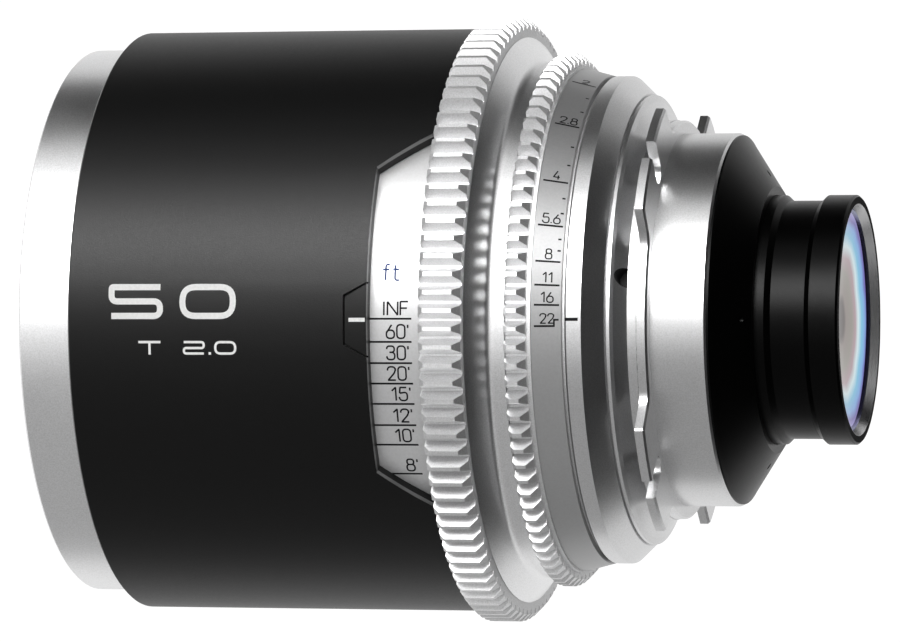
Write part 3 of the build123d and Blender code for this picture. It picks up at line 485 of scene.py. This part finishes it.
# Signs of the scales: the width of each and its strokes, in shares of the cap height.
# Corners are rounded by the share that ends a stroke.
round_corner, tight_corner = 0.28, 0.05
signs = {
    "0": (0.6, [(((0.3, 1), (0, 1), (0, 0), (0.6, 0), (0.6, 1), (0.3, 1)), round_corner)]),
    "1": (0.36, [(((0, 0.74), (0.3, 1), (0.3, 0)), tight_corner)]),
    "2": (0.6, [
        (((0, 0.72), (0, 1), (0.6, 1), (0.6, 0.62), (0.05, 0.02)), round_corner),
        (((0, 0), (0.6, 0)), 0),
    ]),
    "3": (0.6, [
        (((0, 0.78), (0, 1), (0.57, 1), (0.57, 0.54), (0.2, 0.54)), round_corner * 0.8),
        (((0.2, 0.54), (0.6, 0.54), (0.6, 0), (0, 0), (0, 0.22)), round_corner * 0.9),
    ]),
    "4": (0.6, [
        (((0.34, 1), (0, 0.26), (0.6, 0.26)), tight_corner),
        (((0.45, 0.5), (0.45, 0)), 0),
    ]),
    "5": (0.6, [
        (((0.56, 1), (0.08, 1), (0.03, 0.56)), tight_corner),
        (((0.03, 0.56), (0.6, 0.66), (0.6, 0), (0, 0), (0, 0.16)), round_corner),
    ]),
    "6": (0.6, [
        (((0.3, 0.6), (0, 0.6), (0, 0), (0.6, 0), (0.6, 0.6), (0.3, 0.6)), round_corner),
        (((0.4, 1), (0.02, 0.42)), 0),
    ]),
    "7": (0.6, [(((0, 1), (0.6, 1), (0.2, 0)), tight_corner)]),
    "8": (0.6, [
        (((0.3, 1), (0.05, 1), (0.05, 0.55), (0.55, 0.55), (0.55, 1), (0.3, 1)), round_corner * 0.75),
        (((0.3, 0.55), (0, 0.55), (0, 0), (0.6, 0), (0.6, 0.55), (0.3, 0.55)), round_corner * 0.9),
    ]),
    ".": (0.06, [(((0.03, 0), (0.03, 0.12)), 0)]),
    "'": (0.04, [(((0.02, 1), (0.02, 0.76)), 0)]),
    "I": (0.14, [(((0.07, 0), (0.07, 1)), 0)]),
    "N": (0.78, [(((0, 0), (0, 1)), 0), (((0, 1), (0.78, 0)), 0), (((0.78, 0), (0.78, 1)), 0)]),
    "F": (0.58, [(((0.58, 1), (0, 1), (0, 0)), tight_corner), (((0, 0.52), (0.5, 0.52)), 0)]),
    "f": (0.45, [
        (((0.45, 1), (0.2, 1), (0.2, 0)), round_corner * 0.6),
        (((0, 0.68), (0.42, 0.68)), 0),
    ]),
    "t": (0.45, [
        (((0.15, 0.95), (0.15, 0), (0.42, 0)), round_corner * 0.6),
        (((0, 0.68), (0.4, 0.68)), 0),
    ]),
}
sign_gap = 0.2

# Stroke letters of the big figures, in a cell one wide and one tall
stroke_letters = {
    "5": ((1, 1), (0, 1), (0, 0.505), (1, 0.505), (1, 0), (0, 0)),
    "0": ((0.5, 1), (0, 1), (0, 0), (1, 0), (1, 1), (0.5, 1)),
    "2": ((0, 1), (1, 1), (1, 0.48), (0, 0.48), (0, 0), (1, 0)),
}


def rounded(points, radii):
    """A path with its inner corners rounded, all alike or each by its own radius."""
    steps = 7
    path = [Vector(points[0])]
    if not isinstance(radii, tuple):
        radii = (radii,) * (len(points) - 2)
    for before, corner, after, radius in zip(points, points[1:], points[2:], radii):
        corner = Vector(corner)
        back = (Vector(before) - corner).normalized()
        onward = (Vector(after) - corner).normalized()
        start, end = corner + back * radius, corner + onward * radius
        for step in range(steps + 1):
            t = step / steps
            path.append(start * (1 - t) ** 2 + corner * 2 * t * (1 - t) + end * t**2)
    path.append(Vector(points[-1]))
    return path


class Marks:
    """Flat marks that wrap round a turned surface. Their x is the height along the lens
    in millimetres, and their y is the angle round it in degrees."""

    def __init__(self, radius):
        self.radius = radius
        self.flat = bmesh.new()

    def arc(self, angle):
        """Millimetres round the surface in an angle."""
        return radians(angle) * self.radius

    def bar(self, z, angle, length, width):
        """A straight stroke along the lens."""
        half = degrees(width / self.radius) / 2
        corners = [(z, angle - half), (z + length, angle - half)]
        corners += [(z + length, angle + half), (z, angle + half)]
        self.flat.faces.new([self.flat.verts.new((x, y, 0)) for x, y in corners])

    def ribbon(self, path, width):
        """A stroke of even width along a path, in millimetres of height and arc."""
        turn = degrees(1 / self.radius)
        new = self.flat.verts.new
        rails = []
        for index, point in enumerate(path):
            ahead = path[min(index + 1, len(path) - 1)]
            behind = path[max(index - 1, 0)]
            along = (ahead - behind).normalized()
            across = Vector((-along.y, along.x)) * width / 2
            rails.append([new((p.x, p.y * turn, 0)) for p in (point + across, point - across)])
        for one, two in zip(rails, rails[1:]):
            self.flat.faces.new((one[0], two[0], two[1], one[1]))

    def stroke(self, start, end, width):
        self.ribbon([Vector(start), Vector(end)], width)

    def write(self, words, z, low, height, stroke, share=1.0):
        """Add signs of a cap height. low is their foot along the arc, and share of
        their length lies before z."""
        widths = [signs[sign][0] + sign_gap for sign in words]
        left = z - (sum(widths) - sign_gap) * height * share
        for sign, width in zip(words, widths):
            for points, bend in signs[sign][1]:
                path = [(left + x * height, low + y * height) for x, y in points]
                self.ribbon(rounded(path, bend * height), stroke)
            left += width * height

    def figure(self, letter, z, low, width, height, stroke, corner):
        """Add one stroke letter from its lower left corner."""
        inset = stroke / 2
        wide, tall = width - stroke, height - stroke
        cell = stroke_letters[letter]
        path = [(z + inset + x * wide, low + inset + y * tall) for x, y in cell]
        self.ribbon(rounded(path, corner), stroke)

    def cut(self):
        """Cut the marks into bands, so that they bend round the surface."""
        heights = [vertex.co.y for vertex in self.flat.verts]
        level = min(heights) + band_angle
        while level < max(heights):
            parts = self.flat.verts[:] + self.flat.edges[:] + self.flat.faces[:]
            bmesh.ops.bisect_plane(self.flat, geom=parts, plane_co=(0, level, 0), plane_no=(0, 1, 0))
            level += band_angle

    def wrap(self, name, material, body, radius_at=None):
        """Turn the marks into a piece on their surface. radius_at gives its radius at a
        height, where it isn't the same all along."""
        self.cut()
        for vertex in self.flat.verts:
            z, angle = vertex.co.x, radians(vertex.co.y)
            radius = (radius_at(z) if radius_at else self.radius) + lift
            vertex.co = Vector((-radius * sin(angle), -radius * cos(angle), z)) * mm
        mesh = bpy.data.meshes.new(name)
        self.flat.to_mesh(mesh)
        self.flat.free()
        piece = linked(name, mesh, material)
        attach(piece, body)


# Width of the lines on both scales
line_width = 0.27

# Focus scale: angle of each line and its label
focus_marks = (
    (0.2, "INF"), (-4.4, "60'"), (-8.65, "30'"), (-12.8, "20'"), (-17.0, "15'"),
    (-21.5, "12'"), (-25.8, "10'"), (-32.5, "8'"), (-43.1, "7'"), (-52.6, "6'"),
    (-64.8, "5'"), (-81.6, "4'"), (-103.0, "3'"), (-124.0, "2.5'"), (-163.0, "2'"),
    (-200.8, "1.7'"), (-237.3, "1.5'"),
)
focus_label_gap = 0.5


def focus_scale(black, blue):
    marks = Marks(focus_scale_radius)
    for angle, label in focus_marks:
        foot = marks.arc(angle) + focus_label_gap
        marks.bar(z=50.9, angle=angle, length=6.9, width=line_width)
        marks.write(label, z=57.3, low=foot, height=1.9, stroke=0.24)
    marks.wrap("focus_scale_marks", black, "focus_ring")
    unit = Marks(focus_scale_radius)
    unit.write("ft", z=56.0, low=unit.arc(7.9), height=2.25, stroke=0.26)
    unit.wrap("focus_scale_unit", blue, "focus_ring")


# Iris scale: angle of each line and its label, then the short third-stop ticks
iris_marks = (
    (3.3, "16"), (7.75, "11"), (13.1, "8"), (21.5, "5.6"), (32.7, "4"), (50.0, "2.8"), (70.0, "2"),
)
iris_ticks = (15.7, 18.4, 24.7, 28.5, 37.6, 43.2, 56.0, 62.5)
iris_line_z, iris_label_z, iris_tick_z, last_stop_z = 74.45, 76.2, 77.35, 77.05
iris_label_gap = 0.38


def taper_radius(z):
    """Radius of the tapered iris scale at a height."""
    share = (z - iris_scale_z) / iris_scale_length
    return iris_scale_front + (iris_scale_rear - iris_scale_front) * share


def iris_scale(black):
    marks = Marks((iris_scale_front + iris_scale_rear) / 2)
    for angle, label in iris_marks:
        foot = marks.arc(angle) + iris_label_gap
        marks.bar(iris_line_z, angle, length=3.4, width=line_width)
        marks.write(label, iris_label_z, foot, height=1.42, stroke=0.19, share=0.5)
    for angle in iris_ticks:
        marks.bar(iris_tick_z, angle, length=0.45, width=0.25)
    marks.write("22", iris_label_z, marks.arc(-0.75), height=1.32, stroke=0.18, share=0.5)
    marks.bar(iris_line_z, angle=-1.4, length=2.8, width=line_width)
    marks.bar(last_stop_z, angle=0.0, length=0.75, width=line_width)
    marks.bar(last_stop_z, angle=-0.7, length=0.23, width=1.05)
    marks.wrap("iris_scale_marks", black, "iris_ring", taper_radius)


def index_marks(black, pale):
    iris_index = Marks(index_ring_radius)
    iris_index.bar(z=78.65, angle=0.1, length=1.85, width=0.45)
    iris_index.wrap("iris_index", black, "root")
    focus_index = Marks(shell_radius)
    focus_index.bar(z=49.3, angle=0.0, length=2.35, width=0.55)
    focus_index.wrap("focus_index", pale, "root")


# Figures on the barrel: sizes of the big ones, and of the small ones below them
big_figure = {"low": 0.1, "height": 4.95, "stroke": 0.88}
small_foot, small_top, small_stroke, point_width = -4.92, -3.14, 0.34, 0.36
small_figure = {"low": small_foot, "width": 3.25, "height": 1.95, "stroke": small_stroke}


def barrel_figures(pale):
    marks = Marks(shell_radius)
    marks.figure("5", z=14.2, width=8.05, corner=(0.25, 0.9, 1.0, 1.0), **big_figure)
    marks.figure("0", z=24.65, width=8.25, corner=1.9, **big_figure)
    marks.figure("2", z=25.1, corner=0.38, **small_figure)
    marks.figure("0", z=29.7, corner=0.78, **small_figure)
    marks.stroke((29.05, small_foot), (29.05, small_foot + point_width), point_width)
    marks.stroke((18.6, small_top), (21.85, small_top), small_stroke)
    marks.stroke((20.22, small_top - 0.16), (20.22, small_foot), small_stroke)
    marks.wrap("barrel_figures", pale, "root")


# Floor, backdrop and light

world_level = 0.45
floor_radius, floor_glow, floor_glow_share = 1.2, 1.2, 0.8
lamp_aim = Vector((0, 0, 0.06))


def world_light():
    """White where it shows or is mirrored, and a plain level on the surfaces."""
    world = bpy.data.worlds.new("studio")
    world.use_nodes = True
    scene.world = world
    tree = world.node_tree
    tree.nodes.clear()
    output = add_node(tree, "ShaderNodeOutputWorld")
    shown = add_node(tree, "ShaderNodeBackground", Color=white)
    plain = add_node(tree, "ShaderNodeBackground", Color=white, Strength=world_level)
    path = add_node(tree, "ShaderNodeLightPath")
    either = add_node(tree, "ShaderNodeMath", operation="MAXIMUM")
    any_of = add_node(tree, "ShaderNodeMath", operation="MAXIMUM")
    mix = add_node(tree, "ShaderNodeMixShader")
    link = tree.links.new
    link(path.outputs["Is Camera Ray"], either.inputs[0])
    link(path.outputs["Is Glossy Ray"], either.inputs[1])
    link(either.outputs["Value"], any_of.inputs[0])
    link(path.outputs["Is Transmission Ray"], any_of.inputs[1])
    link(any_of.outputs["Value"], mix.inputs["Fac"])
    link(plain.outputs["Background"], mix.inputs[1])
    link(shown.outputs["Background"], mix.inputs[2])
    link(mix.outputs["Shader"], output.inputs["Surface"])


def bare_material(name):
    """A material with nothing but its output, for the studio's own surfaces."""
    material = bpy.data.materials.new(name)
    material.use_nodes = True
    tree = material.node_tree
    tree.nodes.clear()
    output = add_node(tree, "ShaderNodeOutputMaterial")
    return material, tree, output.inputs["Surface"]


def disc(name, corners, radius, height, material):
    """A flat round piece of the studio."""
    bpy.ops.mesh.primitive_circle_add(
        vertices=corners, radius=radius, fill_type="NGON", location=(0, 0, height)
    )
    piece = bpy.context.object
    piece.name = name
    piece.data.materials.append(material)
    return piece


def white_floor():
    """A pale floor under the front ring that still takes the lens's shadow."""
    material, tree, surface = bare_material("floor")
    diffuse = add_node(tree, "ShaderNodeBsdfDiffuse", Color=(0.9, 0.9, 0.9, 1.0))
    glow = add_node(tree, "ShaderNodeEmission", Color=white, Strength=floor_glow)
    path = add_node(tree, "ShaderNodeLightPath")
    share = add_node(tree, "ShaderNodeMath", operation="MULTIPLY")
    share.inputs[1].default_value = floor_glow_share
    mix = add_node(tree, "ShaderNodeMixShader")
    link = tree.links.new
    link(path.outputs["Is Camera Ray"], share.inputs[0])
    link(share.outputs["Value"], mix.inputs["Fac"])
    link(diffuse.outputs["BSDF"], mix.inputs[1])
    link(glow.outputs["Emission"], mix.inputs[2])
    link(mix.outputs["Shader"], surface)
    floor = disc("floor", corners=96, radius=floor_radius, height=0, material=material)
    floor.visible_glossy = False


def only_mirrored(flag):
    """Hide a studio flag from all but mirrors."""
    flag.visible_camera = False
    flag.visible_diffuse = False
    flag.visible_shadow = False
    flag.visible_transmission = False
    flag.visible_volume_scatter = False


def card(name, azimuths, heights, distance, level):
    """A curved studio flag that only mirrors see. Azimuths count as the angles round
    the lens do, and level is its brightness."""
    material, tree, surface = bare_material(name)
    glow = add_node(tree, "ShaderNodeEmission", Color=white, Strength=level)
    tree.links.new(glow.outputs["Emission"], surface)
    mesh = bpy.data.meshes.new(name)
    shape = bmesh.new()
    steps = 12
    rails = []
    for step in range(steps + 1):
        angle = radians(azimuths[0] + (azimuths[1] - azimuths[0]) * step / steps)
        x, y = -distance * sin(angle), -distance * cos(angle)
        rails.append([shape.verts.new((x, y, z)) for z in heights])
    for one, two in zip(rails, rails[1:]):
        shape.faces.new((one[0], two[0], two[1], one[1]))
    shape.to_mesh(mesh)
    shape.free()
    only_mirrored(linked(name, mesh, material))


def soft_card(name, middle, half_width, heights, distance, level):
    """A bright card that fades into the white studio at both sides, in steps."""
    steps = 8
    for step in range(steps):
        start = middle + half_width * (2 * step / steps - 1)
        end = start + 2 * half_width / steps
        share = (step + 0.5) / steps * 2 - 1
        glow = 1 + (level - 1) * cos(share * pi / 2) ** 2
        card(f"{name}_{step}", (start, end), heights, distance, glow)


def overhead_flag(radius, height, level):
    """A round dark flag over the mount, which the rearward cones mirror."""
    rim = 0.01
    card("overhead_rim", (-180, 180), (height, height + rim), radius, level)
    dark = bpy.data.materials["overhead_rim"]
    only_mirrored(disc("overhead_flag", corners=48, radius=radius, height=height, material=dark))


def lamp(name, azimuth, elevation, distance, size, power):
    """A square soft lamp aimed at the middle of the lens."""
    data = bpy.data.lights.new(name, "AREA")
    data.shape = "SQUARE"
    data.size = size
    data.energy = power
    light = bpy.data.objects.new(name, data)
    scene.collection.objects.link(light)
    angle, rise = radians(azimuth), radians(elevation)
    offset = Vector((-cos(rise) * sin(angle), -cos(rise) * cos(angle), sin(rise))) * distance
    light.visible_glossy = False
    light.location = lamp_aim + offset
    light.rotation_euler = (-offset).to_track_quat("-Z", "Y").to_euler()


def light_studio():
    world_light()
    white_floor()
    lamp("key", azimuth=34, elevation=6, distance=0.9, size=0.40, power=4)
    lamp("fill", azimuth=-55, elevation=25, distance=1.4, size=0.8, power=2)
    soft_card("key_card", middle=30, half_width=23, heights=(-0.5, 0.2), distance=0.85, level=25)
    card("upper_flag", azimuths=(77, 121), heights=(-0.7, 0.5), distance=0.8, level=0.01)
    card("upper_rear_flag", azimuths=(121, 136), heights=(-0.15, 0.5), distance=0.8, level=0.01)
    card("lower_flag", azimuths=(-14, -118), heights=(-0.7, 0.5), distance=0.85, level=0.41)
    overhead_flag(radius=0.8, height=0.60, level=0.02)


def dress_metal():
    """Finishes of the silver, black and steel parts. The front one also goes to the
    cove's own piece."""
    front_satin = satin("front_satin").material
    gear_satin = satin("gear_satin", tone=0.78, roughness=0.5).material
    fine_satin = satin("fine_satin", tone=0.68, roughness=0.32).material
    focus_metal = scale_aluminium("focus_scale_metal", tone=0.62, roughness=0.36, metallic=0.5)
    iris_metal = scale_aluminium("iris_scale_metal", tone=0.36, roughness=0.40, metallic=0.6)
    rear_black = smoother_black("rear_black").material
    inner_black = glare_black()
    steel = bright_steel()
    dress(front_satin, "front_ring", "mid_ring")
    dress(gear_satin, "focus_gear_ring", "iris_gear_ring")
    dress(fine_satin, "index_ring", "mount_flange")
    dress(base_satin(), "mount_base")
    dress(focus_metal, "focus_scale_ring")
    dress(iris_metal, "iris_scale_ring")
    dress(shell_black(), "barrel_shell", "index_plate")
    dress(rear_black, "rear_cover", "rear_cell")
    dress(ring_black(), "rear_ring")
    dress(turned_aluminium(), "main_barrel", "iris_drive_ring")
    dress(inner_black, "front_retainer", "front_cell", "front_spacer", "focus_cell")
    dress(inner_black, "focus_spacer", "focus_retainer", "iris_housing", "iris_cover")
    dress(inner_black, "relay_spacer", "relay_retainer")
    dress(steel, "mount_screws", "focus_follower", "focus_guide_pins", "iris_drive_pin", "mount_shim")
    dress(blade_steel(), *[f"iris_blade_{number}" for number in range(1, blade_count + 1)])
    cove_ring(front_satin)


def dress_glass():
    """Coatings of the elements. Films are in nanometres."""
    front_glass = coated_glass("front_glass", tint=(0.93, 0.97, 0.95), film=420.0)
    inner_glass = coated_glass("inner_glass", tint=(0.95, 0.97, 1.0), film=330.0)
    relay_glass = coated_glass("relay_glass", tint=(0.96, 0.95, 1.0), film=520.0)
    dress(front_glass, "front_element", "second_element")
    dress(inner_glass, "focus_front_element", "focus_rear_element")
    dress(relay_glass, "relay_front_element", "relay_rear_element", "rear_element")
    rear_glass()


def letter_lens():
    """Paint in all the engraved marks."""
    ink = paint("black_ink", (0.012, 0.012, 0.013))
    blue_ink = paint("blue_ink", (0.05, 0.08, 0.22))
    white_paint = paint("white_paint", (0.92, 0.92, 0.91))
    focus_scale(ink, blue_ink)
    iris_scale(ink)
    index_marks(ink, white_paint)
    barrel_figures(white_paint)


make_camera()
scene.view_settings.view_transform = "Standard"
light_studio()
dress_metal()
dress_glass()
letter_lens()
